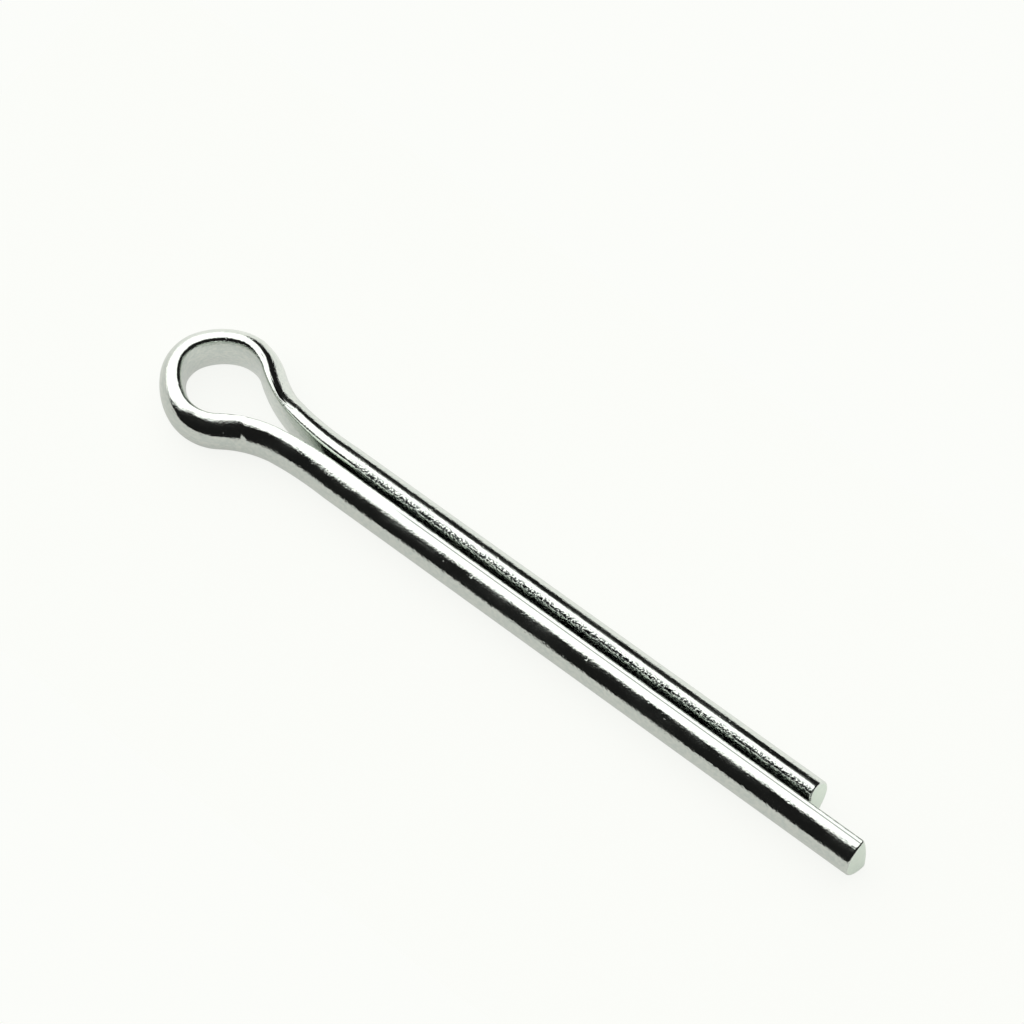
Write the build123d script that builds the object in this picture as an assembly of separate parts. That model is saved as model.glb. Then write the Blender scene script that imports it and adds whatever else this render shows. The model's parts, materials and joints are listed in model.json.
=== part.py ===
"""A split cotter pin, folded from one length of half-round wire, lying flat.

Millimetres. The origin is on the shank's axis, where the straight shank starts below the neck.
+X runs along the shank to the tips, +Y is the short leg's side, and +Z is up.
"""

import os
from math import acos, cos, degrees, radians, sin

from build123d import *

# The shank: two half-round legs that make one round pin
shank_diameter = 3.5
short_leg_length = 33.6
tip_step = 3.9  # how much further the long leg reaches
tip_cut_slant = 6.0  # degrees: the shear leaves each end leaning back towards its upper edge
tip_edge_round = 0.1

# The wire's section
leg_gap = 0.06  # between the crowned flats, at their middle
flat_crown_radius = 6.0  # the flats bulge a little towards each other
wire_corner_radius = 0.38  # where a flat meets the round side

# The eye: a tight bend at each side and at the crown, with flatter shoulders between them
eye_inner_width = 4.4
eye_wire_thickness = 1.53  # the wire is thinner where it is bent round
eye_side_radius = 2.0
eye_shoulder_radius = 3.2
eye_shoulder_angle = 34.0
eye_crown_angle = 64.0

# The neck
neck_bend_radius = 8.2  # from the eye in towards the shank
throat_bend_radius = 24.0  # the gentle last bend before the legs run straight
throat_bend_angle = 10.0

shank_radius = shank_diameter / 2
flat_offset = leg_gap / 2
leg_wire_thickness = shank_radius - flat_offset


def wire_section(thickness):
    """The half-round section: X points out from the fold, and Y runs up the flat."""
    round_side = Pos(flat_offset + thickness - shank_radius, 0) * Circle(shank_radius)
    flat_side = Pos(flat_offset + flat_crown_radius, 0) * Circle(flat_crown_radius)
    lens = round_side & flat_side
    return fillet(lens.vertices(), wire_corner_radius)


def section_across(bend, position, thickness):
    """The section set square to a bend, with its round side away from the fold."""
    along = bend.tangent_at(position)
    square = Plane(bend.position_at(position), x_dir=along.cross(Vector(0, 0, 1)), z_dir=along)
    return square * wire_section(thickness)


def bent_wire(bend, start_thickness, end_thickness):
    """The wire along one bend, as its thickness goes evenly from one value to the other."""
    ends = [section_across(bend, 0, start_thickness), section_across(bend, 1, end_thickness)]
    return sweep(ends, path=bend, multisection=True)


def leg(side, length):
    """A straight leg on the +Y (1) or -Y (-1) side, cut off on a slant, with the cut's edge rounded."""
    neck_end = Plane((0, 0, 0), x_dir=(0, side, 0), z_dir=(1, 0, 0))
    bar = extrude(neck_end * wire_section(leg_wire_thickness), amount=length + shank_radius)
    slant = radians(tip_cut_slant)
    lowest_tip_point = (length, 0, -shank_radius)
    shear = Plane(lowest_tip_point, x_dir=(0, 1, 0), z_dir=(cos(slant), 0, sin(slant)))
    cut_bar = split(bar, bisect_by=shear, keep=Keep.BOTTOM)
    cut_end = cut_bar.faces().sort_by(Axis.X)[-1]
    return fillet(cut_end.edges(), tip_edge_round)


# Half of the eye's width, measured to the fold line, is made up by its three bends
crown_turn = radians(eye_crown_angle / 2)
shoulder_turn = crown_turn + radians(eye_shoulder_angle)
shoulder_width = eye_shoulder_radius * (sin(shoulder_turn) - sin(crown_turn))
side_width = eye_side_radius * (1 - sin(shoulder_turn))
eye_crown_radius = (eye_inner_width / 2 - flat_offset - shoulder_width - side_width) / sin(crown_turn)

# The side bend turns on until it meets the neck bend in line with it
throat_turn = radians(throat_bend_angle)
neck_rise = throat_bend_radius * (1 - cos(throat_turn)) + neck_bend_radius * cos(throat_turn)
eye_rise = eye_inner_width / 2 - flat_offset - eye_side_radius
neck_slope = degrees(acos((neck_rise - eye_rise) / (eye_side_radius + neck_bend_radius)))
neck_bend_angle = neck_slope - throat_bend_angle
eye_side_angle = neck_slope + 90 - degrees(shoulder_turn)

# The fold line from the short leg round the eye to the long leg: each bend's radius, its angle
# (positive towards the middle of the eye) and the wire's thickness at its two ends
thick, thin = leg_wire_thickness, eye_wire_thickness
neck_and_eye_side = [
    (throat_bend_radius, -throat_bend_angle, thick, thin),
    (neck_bend_radius, -neck_bend_angle, thin, thin),
    (eye_side_radius, eye_side_angle, thin, thin),
    (eye_shoulder_radius, eye_shoulder_angle, thin, thin),
]
crown = [(eye_crown_radius, eye_crown_angle, thin, thin)]
way_back = [(radius, angle, end, start) for radius, angle, start, end in reversed(neck_and_eye_side)]

cotter_pin = leg(1, short_leg_length)
place, heading = Vector(0, 0), Vector(-1, 0)
for radius, angle, start_thickness, end_thickness in neck_and_eye_side + crown + way_back:
    bend = JernArc(place, heading, radius, angle)
    cotter_pin += bent_wire(bend, start_thickness, end_thickness)
    place, heading = bend @ 1, bend % 1
cotter_pin += leg(-1, short_leg_length + tip_step)

os.makedirs("parts", exist_ok=True)
export_step(cotter_pin, "parts/cotter_pin.step")
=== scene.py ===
import json
from math import acos, atan2, cos, degrees, pi, radians, sin, sqrt, tan

import bmesh
import bpy
from mathutils import Matrix, Vector


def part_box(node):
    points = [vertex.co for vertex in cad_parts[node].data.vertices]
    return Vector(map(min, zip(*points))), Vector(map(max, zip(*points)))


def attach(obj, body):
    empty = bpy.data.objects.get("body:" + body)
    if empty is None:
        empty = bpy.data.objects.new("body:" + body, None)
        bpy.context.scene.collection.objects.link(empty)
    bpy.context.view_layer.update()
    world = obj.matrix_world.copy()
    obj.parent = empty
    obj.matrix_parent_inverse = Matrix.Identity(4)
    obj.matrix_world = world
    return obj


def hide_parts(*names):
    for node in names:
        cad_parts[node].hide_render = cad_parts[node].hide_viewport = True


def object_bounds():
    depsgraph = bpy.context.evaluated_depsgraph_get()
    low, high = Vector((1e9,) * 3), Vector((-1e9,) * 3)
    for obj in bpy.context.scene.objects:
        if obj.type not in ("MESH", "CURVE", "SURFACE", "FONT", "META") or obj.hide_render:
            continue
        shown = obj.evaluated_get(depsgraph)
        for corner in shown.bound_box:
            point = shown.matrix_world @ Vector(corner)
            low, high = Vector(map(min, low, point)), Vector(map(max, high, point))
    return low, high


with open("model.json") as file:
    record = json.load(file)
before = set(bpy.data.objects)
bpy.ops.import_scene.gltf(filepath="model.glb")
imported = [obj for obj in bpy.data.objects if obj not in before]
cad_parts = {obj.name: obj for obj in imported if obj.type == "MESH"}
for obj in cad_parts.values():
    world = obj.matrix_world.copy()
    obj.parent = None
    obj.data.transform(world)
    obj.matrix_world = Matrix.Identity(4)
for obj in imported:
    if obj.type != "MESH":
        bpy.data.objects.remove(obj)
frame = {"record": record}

cad_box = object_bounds()

# ---------------------------------------------------------------------------------------------
# The wire, before it is folded. It is drawn half round: a round side, a flat that bulges a
# little, and two corners rolled soft by the drawing die. Its section lies in the YZ plane, with
# the round side towards +Y, and the fold line is at Y = 0.
# ---------------------------------------------------------------------------------------------
mm = 0.001
(shank_low, shank_high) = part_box("cotter_pin")
shank_mount = frame["record"]["mounts"][0]
shank_radius = shank_mount["dims"]["r_mm"] * mm
half_gap = 0.03 * mm
leg_thickness = shank_radius - half_gap
x_axis = (1, 0, 0)


def drawn_section(mesh, flat_crown_radius, corner_radius):
    """One loop of the wire's section: round side, corner, crowned flat, corner."""
    # A corner's centre lies inside the round side and inside the flat's crown, by its radius
    crown_centre = half_gap + flat_crown_radius
    round_reach = shank_radius - corner_radius
    crown_reach = flat_crown_radius - corner_radius
    corner_y = (round_reach ** 2 - crown_reach ** 2 + crown_centre ** 2) / (2 * crown_centre)
    corner_z = sqrt(round_reach ** 2 - corner_y ** 2)
    round_half_turn = atan2(corner_z, corner_y)
    flat_half_turn = atan2(corner_z, crown_centre - corner_y)
    corner_turn = pi - round_half_turn - flat_half_turn
    start = (0, shank_radius * cos(round_half_turn), -shank_radius * sin(round_half_turn))
    last = mesh.verts.new(start)
    for centre, turn, steps in (
        ((0, 0, 0), 2 * round_half_turn, 64),
        ((0, corner_y, corner_z), corner_turn, 14),
        ((0, crown_centre, 0), 2 * flat_half_turn, 20),
        ((0, corner_y, -corner_z), corner_turn, 14),
    ):
        arc = bmesh.ops.spin(mesh, geom=[last], cent=centre, axis=x_axis, angle=turn, steps=steps)
        last = arc["geom_last"][0]
    bmesh.ops.remove_doubles(mesh, verts=mesh.verts, dist=0.0001 * mm)
    # The rolls press it to the shank's own height
    height = max(point.co.z for point in mesh.verts)
    bmesh.ops.scale(mesh, verts=mesh.verts, vec=(1, 1, shank_high[2] / height))


# The short leg's and the eye's flat bulges; the long leg's is flatter, with sharper corners
wire = bmesh.new()
along_wire = wire.verts.layers.float_vector.new("straight_wire")
drawn_section(wire, 5.6 * mm, 0.40 * mm)
sharp = bmesh.new()
drawn_section(sharp, 9.0 * mm, 0.21 * mm)
to_sharp = wire.verts.layers.float_vector.new("to_sharp")
for point, sharp_point in zip(wire.verts, sharp.verts):
    point[along_wire] = Vector((point.co.y, point.co.z, 0.0))
    point[to_sharp] = sharp_point.co - point.co
sharp.free()

# ---------------------------------------------------------------------------------------------
# Folding the wire into the pin. A forming tool bends it round a mandrel to make the eye, closes
# the neck, and lays the two legs flat to flat. It is followed here from the short leg's cut end
# round the eye to the long leg's.
# ---------------------------------------------------------------------------------------------
short_leg_length = 33.6 * mm
long_leg_length = shank_high[0] + 0.07 * mm  # before its rim is rounded
cut_slant = radians(6.0)
cut_skew = 0.08  # how much further back the long leg is cut on its outer side, for each mm across
straight_start = 1.2 * mm  # from a cut end to the first square section
eye_wire_thickness = 1.53 * mm
eye_half_width = 2.2 * mm - half_gap
eye_side_radius = 2.0 * mm
eye_shoulder_radius = 3.2 * mm
eye_shoulder_turn = radians(34.0)
eye_crown_half_turn = radians(32.0)
neck_bend_radius = 8.2 * mm
throat_bend_radius = 24.0 * mm
throat_turn = radians(10.0)

shoulder_end = eye_crown_half_turn + eye_shoulder_turn
shoulder_width = eye_shoulder_radius * (sin(shoulder_end) - sin(eye_crown_half_turn))
side_width = eye_side_radius * (1 - sin(shoulder_end))
eye_crown_radius = (eye_half_width - shoulder_width - side_width) / sin(eye_crown_half_turn)
neck_rise = throat_bend_radius * (1 - cos(throat_turn)) + neck_bend_radius * cos(throat_turn)
neck_slope = acos((neck_rise - eye_half_width + eye_side_radius) / (eye_side_radius + neck_bend_radius))
side_turn = neck_slope + pi / 2 - shoulder_end

neck_and_eye_side = [
    (throat_bend_radius, -throat_turn, 40),
    (neck_bend_radius, throat_turn - neck_slope, 50),
    (eye_side_radius, side_turn, 30),
    (eye_shoulder_radius, eye_shoulder_turn, 18),
]
crown = [(eye_crown_radius, 2 * eye_crown_half_turn, 20)]
bends = neck_and_eye_side + crown + neck_and_eye_side[::-1]

distance = 0.0
eye_flat_swell = 0.08 * mm
neck_slope_turn = neck_slope  # the throat and neck turn through this much in all


def draw_on(edges, length, steps):
    """The wire carries straight on from its open end, towards heading."""
    global distance
    for step in range(steps):
        made = bmesh.ops.extrude_edge_only(wire, edges=edges)["geom"]
        ring = [v for v in made if isinstance(v, bmesh.types.BMVert)]
        edges = [e for e in made if isinstance(e, bmesh.types.BMEdge)]
        bmesh.ops.translate(wire, verts=ring, vec=heading * (length / steps))
        distance += length / steps
        for point in ring:
            point[along_wire] = Vector((*point[along_wire].xy, distance))
    return edges


# The open end starts at the short leg's tip, and the whole wire is carried along as it bends
heading = Vector((-1, 0, 0))
place = Vector((short_leg_length, 0, 0))
bmesh.ops.translate(wire, verts=wire.verts, vec=place)
short_end = wire.edges[:]
open_end = draw_on(short_end, straight_start, 1)
open_end = draw_on(open_end, short_leg_length - straight_start, 58)
place = Vector((0, 0, 0))
up = Vector((0, 0, 1))
for number, (radius, turn, steps) in enumerate(bends):
    side = 1 if turn > 0 else -1
    inward = up.cross(heading) * side
    centre = place + inward * radius
    for step in range(steps):
        swept = bmesh.ops.spin(wire, geom=open_end, cent=centre, axis=up, angle=turn / steps, steps=1)
        ring = [v for v in swept["geom_last"] if isinstance(v, bmesh.types.BMVert)]
        open_end = [e for e in swept["geom_last"] if isinstance(e, bmesh.types.BMEdge)]
        turned = Matrix.Rotation(turn / steps, 3, up)
        place = centre + turned @ (place - centre)
        heading = turned @ heading
        distance += radius * abs(turn) / steps
        # The wire thins evenly over the first throat bend and thickens again over the last
        if number in (0, len(bends) - 1):
            thinned = eye_wire_thickness / leg_thickness
            share = (1 + (thinned - 1) * (step + 1) / steps) / (1 + (thinned - 1) * step / steps)
            if number:
                share = (thinned + (1 - thinned) * (step + 1) / steps) / (thinned + (1 - thinned) * step / steps)
            outward = heading.cross(up)
            local = Matrix.Translation(-place - outward * half_gap)
            squeeze = Matrix.Scale(share, 4, outward)
            bmesh.ops.transform(wire, matrix=squeeze, space=local, verts=ring)
        # Bending swells the flat: its edges draw back through the throat and neck, and return after
        if number in (0, 1, len(bends) - 2, len(bends) - 1):
            bend_share = abs(turn) / steps / neck_slope_turn
            swell = eye_flat_swell * bend_share * (1 if number < 2 else -1)
            outward = heading.cross(up)
            for point in ring:
                flatness = max(0.0, 1 - point[along_wire].x / shank_radius)
                point.co += outward * swell * flatness * (point[along_wire].y / shank_radius) ** 4
        if number == len(bends) - 3:
            outward = heading.cross(up)
            for point in ring:
                point.co += (outward * point[to_sharp].y + up * point[to_sharp].z) / steps
        for point in ring:
            point[along_wire] = Vector((*point[along_wire].xy, distance))
heading = Vector((1, 0, 0))
open_end = draw_on(open_end, long_leg_length - straight_start, 64)
long_end = draw_on(open_end, straight_start, 1)

# ---------------------------------------------------------------------------------------------
# The cut ends. The wire is sheared off on a slant, so each face leans back at the top, and
# plating rounds its rim.
# ---------------------------------------------------------------------------------------------
rim_round = 0.13 * mm
for end, skew in ((short_end, 0.0), (long_end, cut_skew)):
    for point in {v for edge in end for v in edge.verts}:
        point.co.x -= tan(cut_slant) * (point.co.z + shank_radius) + skew * abs(point.co.y)
    bmesh.ops.contextual_create(wire, geom=end)
    bmesh.ops.bevel(
        wire, geom=end, offset=rim_round, offset_type="OFFSET", segments=5, profile=0.5,
        affect="EDGES", material=-1, clamp_overlap=True,
    )
bmesh.ops.scale(wire, verts=wire.verts, vec=(0.999, 0.999, 0.997))  # shrunk a little, to lie within the CAD part's box
bmesh.ops.recalc_face_normals(wire, faces=wire.faces)

# ---------------------------------------------------------------------------------------------
# Marks of the forming tool on the outside of the neck. Its edge dug a step into the long leg's
# side, and left a smaller one on the short leg's.
# ---------------------------------------------------------------------------------------------
for crease_x, side, height, tall, reach, drop, depth, lean in (
    (-5.45 * mm, -1, 1.0 * mm, 1.2 * mm, 0.8 * mm, 0.35 * mm, 0.13 * mm, 0.6),
    (-5.6 * mm, 1, 1.6 * mm, 1.7 * mm, 3.2 * mm, 1.3 * mm, 0.28 * mm, -0.3),
):
    for point in wire.verts:
        if point.co.y * side < 0.9 * mm or point[along_wire].x < 0.5 * mm:
            continue
        behind = crease_x - lean * (point.co.z - 0.5 * mm) - point.co.x
        slope = max(0.0, 1 - behind / reach) if behind > 0 else max(0.0, 1 + behind / drop)
        spread = max(0.0, 1 - ((point.co.z - height) / tall) ** 2)
        point.co.y -= side * depth * slope * spread

for face in wire.faces:
    if face.normal.x > 0.95 and face.calc_center_median().x > short_leg_length - rim_round * 5:
        face.material_index = 1

pin_mesh = bpy.data.meshes.new("folded_wire")
wire.to_mesh(pin_mesh)
wire.free()
pin_mesh.shade_smooth()
pin = bpy.data.objects.new("folded_wire", pin_mesh)
bpy.context.scene.collection.objects.link(pin)
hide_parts("cotter_pin")
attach(pin, "root")

# ---------------------------------------------------------------------------------------------
# The finish: bright zinc plate over drawn steel, cleared with a faint green-blue passivate.
# ---------------------------------------------------------------------------------------------
zinc = bpy.data.materials.new("bright_zinc_plate")
zinc.use_nodes = True
nodes, links = zinc.node_tree.nodes, zinc.node_tree.links
plate = nodes["Principled BSDF"]
plate.inputs["Metallic"].default_value = 1.0
wire_place = nodes.new("ShaderNodeAttribute")
wire_place.attribute_name = "straight_wire"
wire_axes = nodes.new("ShaderNodeSeparateXYZ")
links.new(wire_place.outputs["Vector"], wire_axes.inputs[0])


def plating_noise(across, along, detail):
    """Noise that follows the wire: how many features there are per metre across it and along it."""
    stretch = nodes.new("ShaderNodeMapping")
    stretch.inputs["Scale"].default_value = (across, across, along)
    noise = nodes.new("ShaderNodeTexNoise")
    noise.inputs["Scale"].default_value = 1.0
    noise.inputs["Detail"].default_value = detail
    links.new(wire_place.outputs["Vector"], stretch.inputs["Vector"])
    links.new(stretch.outputs[0], noise.inputs["Vector"])
    return noise.outputs[0]


def between(value, low, high, out_low=0.0, out_high=1.0):
    """A value eased from out_low to out_high as it goes from low to high."""
    eased = nodes.new("ShaderNodeMapRange")
    eased.interpolation_type = "SMOOTHSTEP"
    eased.inputs["From Min"].default_value = low
    eased.inputs["From Max"].default_value = high
    eased.inputs["To Min"].default_value = out_low
    eased.inputs["To Max"].default_value = out_high
    links.new(value, eased.inputs["Value"])
    return eased.outputs[0]


def times(first, second):
    """The product of two values."""
    product = nodes.new("ShaderNodeMath")
    product.operation = "MULTIPLY"
    links.new(first, product.inputs[0])
    links.new(second, product.inputs[1])
    return product.outputs[0]


# Where the legs press together their flats are rubbed rough and dull, the short leg's the most
middle_of_wire = distance / 2
past_middle = nodes.new("ShaderNodeMath")
past_middle.operation = "SUBTRACT"
past_middle.inputs[1].default_value = middle_of_wire
links.new(wire_axes.outputs["Z"], past_middle.inputs[0])
on_short_leg = between(past_middle.outputs[0], -16.5 * mm, -14.5 * mm, 1.0, 0.0)
on_long_leg = between(past_middle.outputs[0], 14.5 * mm, 16.5 * mm)
rubbed = times(between(wire_axes.outputs["X"], 0.40 * mm, 0.60 * mm, 1.0, 0.0), on_short_leg)
flecks = between(plating_noise(7500, 6500, 1), 0.44, 0.54, 1.0, 0.0)
rubbed_dark = times(rubbed, flecks)

# The drawing die scored two fine lines along the long leg's edge
upper = between(wire_axes.outputs["Y"], 0.0, 0.2 * mm)
line_shares = []
for line_y, half_width, darkness in ((0.80 * mm, 0.04 * mm, 0.9), (0.61 * mm, 0.03 * mm, 0.5)):
    off_line = nodes.new("ShaderNodeMath")
    off_line.operation = "SUBTRACT"
    off_line.inputs[1].default_value = line_y
    links.new(wire_axes.outputs["X"], off_line.inputs[0])
    apart = nodes.new("ShaderNodeMath")
    apart.operation = "ABSOLUTE"
    links.new(off_line.outputs[0], apart.inputs[0])
    line_shares.append(between(apart.outputs[0], 0.0, half_width, darkness, 0.0))
scored = nodes.new("ShaderNodeMath")
scored.operation = "MAXIMUM"
links.new(line_shares[0], scored.inputs[0])
links.new(line_shares[1], scored.inputs[1])
scored_long = times(times(scored.outputs[0], on_long_leg), upper)
darkened = nodes.new("ShaderNodeMath")
darkened.operation = "MAXIMUM"
links.new(rubbed_dark, darkened.inputs[0])
links.new(scored_long, darkened.inputs[1])
mottle = between(plating_noise(5500, 4200, 3), 0.34, 0.66)
colour = nodes.new("ShaderNodeMix")
colour.data_type = "RGBA"
colour.inputs["A"].default_value = (0.71, 0.755, 0.72, 1)
colour.inputs["B"].default_value = (0.80, 0.825, 0.78, 1)
links.new(mottle, colour.inputs["Factor"])
dulled = nodes.new("ShaderNodeMix")
dulled.data_type = "RGBA"
dulled.inputs["B"].default_value = (0.10, 0.11, 0.11, 1)
links.new(darkened.outputs[0], dulled.inputs["Factor"])
links.new(colour.outputs["Result"], dulled.inputs["A"])
links.new(dulled.outputs["Result"], plate.inputs["Base Color"])
links.new(between(plating_noise(1500, 400, 4), 0.3, 0.7, 0.06, 0.16), plate.inputs["Roughness"])

# Drawing leaves long fine streaks, and plating leaves slight waves and small pits
streaks = nodes.new("ShaderNodeBump")
streaks.inputs["Distance"].default_value = 0.003 * mm
links.new(plating_noise(6000, 150, 2), streaks.inputs["Height"])
waves = nodes.new("ShaderNodeBump")
waves.inputs["Distance"].default_value = 0.010 * mm
links.new(plating_noise(900, 800, 3), waves.inputs["Height"])
links.new(streaks.outputs[0], waves.inputs["Normal"])
pits = nodes.new("ShaderNodeBump")
pits.invert = True
pits.inputs["Distance"].default_value = 0.008 * mm
links.new(between(plating_noise(3500, 3000, 1), 0.70, 0.82), pits.inputs["Height"])
links.new(waves.outputs[0], pits.inputs["Normal"])
peel = nodes.new("ShaderNodeBump")
peel.inputs["Distance"].default_value = 0.010 * mm
links.new(plating_noise(7500, 5500, 2), peel.inputs["Height"])
links.new(pits.outputs[0], peel.inputs["Normal"])
rub = nodes.new("ShaderNodeBump")
rub.inputs["Distance"].default_value = 0.045 * mm
links.new(times(rubbed, plating_noise(7500, 6500, 1)), rub.inputs["Height"])
links.new(peel.outputs[0], rub.inputs["Normal"])
links.new(rub.outputs[0], plate.inputs["Normal"])
pin_mesh.materials.append(zinc)

# The sheared ends: matte, with the shear's fine grain
sheared = bpy.data.materials.new("sheared_end")
sheared.use_nodes = True
nodes, links = sheared.node_tree.nodes, sheared.node_tree.links
end_face = nodes["Principled BSDF"]
end_face.inputs["Metallic"].default_value = 1.0
end_face.inputs["Roughness"].default_value = 0.42
grain_place = nodes.new("ShaderNodeTexCoord")
grain = nodes.new("ShaderNodeTexNoise")
grain.inputs["Scale"].default_value = 2500
grain.inputs["Detail"].default_value = 5
links.new(grain_place.outputs["Object"], grain.inputs["Vector"])
end_colour = nodes.new("ShaderNodeMix")
end_colour.data_type = "RGBA"
end_colour.inputs["A"].default_value = (0.82, 0.92, 0.83, 1)
end_colour.inputs["B"].default_value = (0.93, 1.0, 0.91, 1)
links.new(grain.outputs[0], end_colour.inputs["Factor"])
links.new(end_colour.outputs["Result"], end_face.inputs["Base Color"])
end_bump = nodes.new("ShaderNodeBump")
end_bump.inputs["Distance"].default_value = 0.01 * mm
links.new(grain.outputs[0], end_bump.inputs["Height"])
links.new(end_bump.outputs[0], end_face.inputs["Normal"])
pin_mesh.materials.append(sheared)

# ---------------------------------------------------------------------------------------------
# The white sheet that the pin lies on, and the white tent round it. The tent is open low down
# towards the camera, and has a narrow dark gap above the far edge of the sheet. As the metal
# sees it, the sheet glows with a painted shade over its near half.
# ---------------------------------------------------------------------------------------------
floor_mesh = bpy.data.meshes.new("white_sheet")
sheet = bmesh.new()
bmesh.ops.create_grid(sheet, x_segments=1, y_segments=1, size=1)
bmesh.ops.scale(sheet, verts=sheet.verts, vec=(45 * mm, 20 * mm, 1))
bmesh.ops.translate(sheet, verts=sheet.verts, vec=(12 * mm, 0, cad_box[0][2]))
sheet.to_mesh(floor_mesh)
sheet.free()
floor = bpy.data.objects.new("white_sheet", floor_mesh)
bpy.context.scene.collection.objects.link(floor)
paper = bpy.data.materials.new("white_paper")
paper.use_nodes = True
nodes, links = paper.node_tree.nodes, paper.node_tree.links
sheet_place = nodes.new("ShaderNodeTexCoord")
sheet_axes = nodes.new("ShaderNodeSeparateXYZ")
links.new(sheet_place.outputs["Object"], sheet_axes.inputs[0])
nodes["Principled BSDF"].inputs["Base Color"].default_value = (0.90, 0.90, 0.86, 1)
nodes["Principled BSDF"].inputs["Roughness"].default_value = 0.9
white = nodes.new("ShaderNodeEmission")
white.inputs["Color"].default_value = (0.985, 0.995, 0.965, 1)
whiten = nodes.new("ShaderNodeMixShader")
camera_sees = nodes.new("ShaderNodeLightPath")
share = nodes.new("ShaderNodeMath")
share.operation = "MULTIPLY"
share.inputs[1].default_value = 0.88
links.new(camera_sees.outputs["Is Camera Ray"], share.inputs[0])
mirrored = nodes.new("ShaderNodeMath")
mirrored.operation = "MULTIPLY_ADD"
mirrored.inputs[1].default_value = 0.6
links.new(camera_sees.outputs["Is Glossy Ray"], mirrored.inputs[0])
links.new(share.outputs[0], mirrored.inputs[2])
links.new(mirrored.outputs[0], whiten.inputs[0])
# Painted shade: rays mirrored off the metal see the sheet glow at 0.53 towards its near (-Y) side, rising to 1.0
# towards its far side
painted_shade_glow = nodes.new("ShaderNodeMapRange")
painted_shade_glow.inputs["From Min"].default_value = -4 * mm
painted_shade_glow.inputs["From Max"].default_value = 6 * mm
painted_shade_glow.inputs["To Min"].default_value = 0.53
painted_shade_glow.inputs["To Max"].default_value = 1.0
links.new(sheet_axes.outputs["Y"], painted_shade_glow.inputs["Value"])
plain = nodes.new("ShaderNodeMix")
plain.data_type = "FLOAT"
plain.inputs["B"].default_value = 1.0
links.new(camera_sees.outputs["Is Camera Ray"], plain.inputs["Factor"])
links.new(painted_shade_glow.outputs[0], plain.inputs["A"])
links.new(plain.outputs["Result"], white.inputs["Strength"])
links.new(nodes["Principled BSDF"].outputs[0], whiten.inputs[1])
links.new(white.outputs[0], whiten.inputs[2])
links.new(whiten.outputs[0], nodes["Material Output"].inputs["Surface"])
floor_mesh.materials.append(paper)

tent = bpy.data.worlds.new("white_tent")
tent.use_nodes = True
bpy.context.scene.world = tent
nodes, links = tent.node_tree.nodes, tent.node_tree.links
direction = nodes.new("ShaderNodeTexCoord")
parts = nodes.new("ShaderNodeSeparateXYZ")
links.new(direction.outputs["Generated"], parts.inputs[0])
bearing = nodes.new("ShaderNodeMath")
bearing.operation = "ARCTAN2"
links.new(parts.outputs["Y"], bearing.inputs[0])
links.new(parts.outputs["X"], bearing.inputs[1])
turn = nodes.new("ShaderNodeMapRange")
turn.inputs["From Min"].default_value = -pi
turn.inputs["From Max"].default_value = pi
links.new(bearing.outputs[0], turn.inputs["Value"])
# The tent's lower edge, all round from -X through -Y, +X and +Y: the sine of its height (plus
# lowest), and how softly it ends there
lowest = 0.35
lower_edge = nodes.new("ShaderNodeValToRGB")
ramp = lower_edge.color_ramp
stops = [
    (-180, -0.35, 0.05), (-158, -0.10, 0.05), (-145, 0.0, 0.08), (-135, 0.18, 0.08), (-122, 0.42, 0.06),
    (-117, 0.74, 0.04), (-105, 0.79, 0.04), (-85, 0.84, 0.05), (-65, 0.87, 0.05), (60, 0.70, 0.08),
    (85, 0.58, 0.12), (97, 0.46, 0.18), (110, 0.38, 0.18), (118, -0.10, 0.1), (180, -0.35, 0.05),
]
while len(ramp.elements) < len(stops):
    ramp.elements.new(0.5)
for stop, (bearing_deg, height, softness) in zip(ramp.elements, stops):
    stop.position = (bearing_deg + 180) / 360
    stop.color = (height + lowest, softness, 0, 1)
links.new(turn.outputs[0], lower_edge.inputs[0])
edge = nodes.new("ShaderNodeSeparateColor")
links.new(lower_edge.outputs["Color"], edge.inputs[0])
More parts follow.
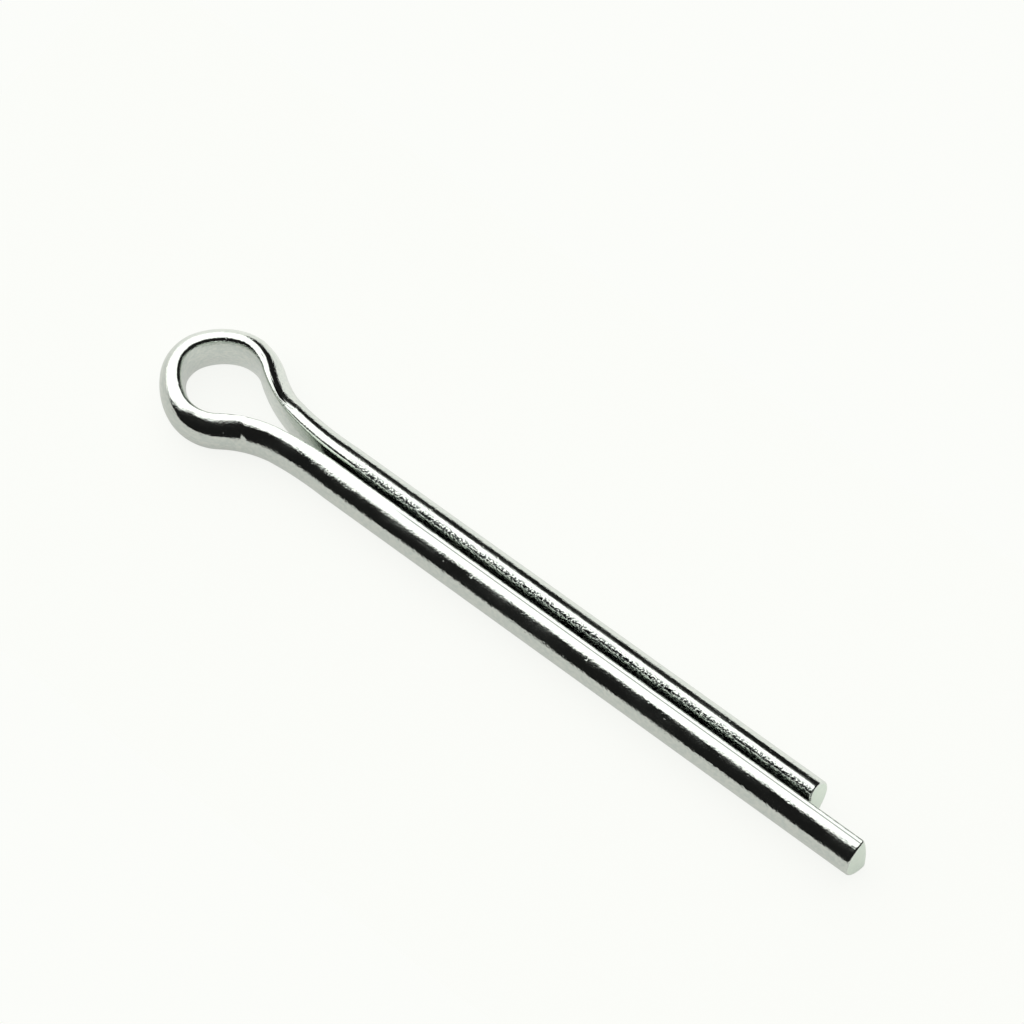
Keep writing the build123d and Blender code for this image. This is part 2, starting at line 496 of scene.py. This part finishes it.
raised = nodes.new("ShaderNodeMath")
raised.operation = "ADD"
raised.inputs[1].default_value = lowest
links.new(parts.outputs["Z"], raised.inputs[0])
above = nodes.new("ShaderNodeMath")
above.operation = "SUBTRACT"
links.new(raised.outputs[0], above.inputs[0])
links.new(edge.outputs["Red"], above.inputs[1])
across_edge = nodes.new("ShaderNodeMath")
across_edge.operation = "DIVIDE"
links.new(above.outputs[0], across_edge.inputs[0])
links.new(edge.outputs["Green"], across_edge.inputs[1])
soften = nodes.new("ShaderNodeMapRange")
soften.interpolation_type = "SMOOTHSTEP"
soften.inputs["From Min"].default_value = -1.0
soften.inputs["From Max"].default_value = 1.0
soften.inputs["To Min"].default_value = 0.012
soften.inputs["To Max"].default_value = 1.5
links.new(across_edge.outputs[0], soften.inputs["Value"])
light_path = nodes.new("ShaderNodeLightPath")
seen = nodes.new("ShaderNodeMix")
seen.data_type = "FLOAT"
seen.inputs["B"].default_value = 0.985
links.new(light_path.outputs["Is Camera Ray"], seen.inputs["Factor"])
links.new(soften.outputs[0], seen.inputs["A"])
background = nodes["Background"]
links.new(seen.outputs["Result"], background.inputs["Strength"])
background.inputs["Color"].default_value = (0.985, 0.995, 0.965, 1)

# ---------------------------------------------------------------------------------------------
# The camera looks down from the long leg's side with a long lens.
# ---------------------------------------------------------------------------------------------
camera_elevation = radians(64.4)
camera_turn = radians(38.24)
camera_distance = 224.6 * mm
aim = Vector((8.78 * mm, 4.74 * mm, cad_box[0][2]))
ahead = Vector((-sin(camera_turn) * cos(camera_elevation), cos(camera_turn) * cos(camera_elevation), -sin(camera_elevation)))
camera_data = bpy.data.cameras.new("camera")
camera_data.sensor_width = 36.0
camera_data.lens = 137.1
camera_data.clip_start = 0.01
camera = bpy.data.objects.new("camera", camera_data)
camera.location = aim - ahead * camera_distance
camera.rotation_euler = ahead.to_track_quat("-Z", "Y").to_euler()
bpy.context.scene.collection.objects.link(camera)
bpy.context.scene.camera = camera
bpy.context.scene.view_settings.view_transform = "Standard"
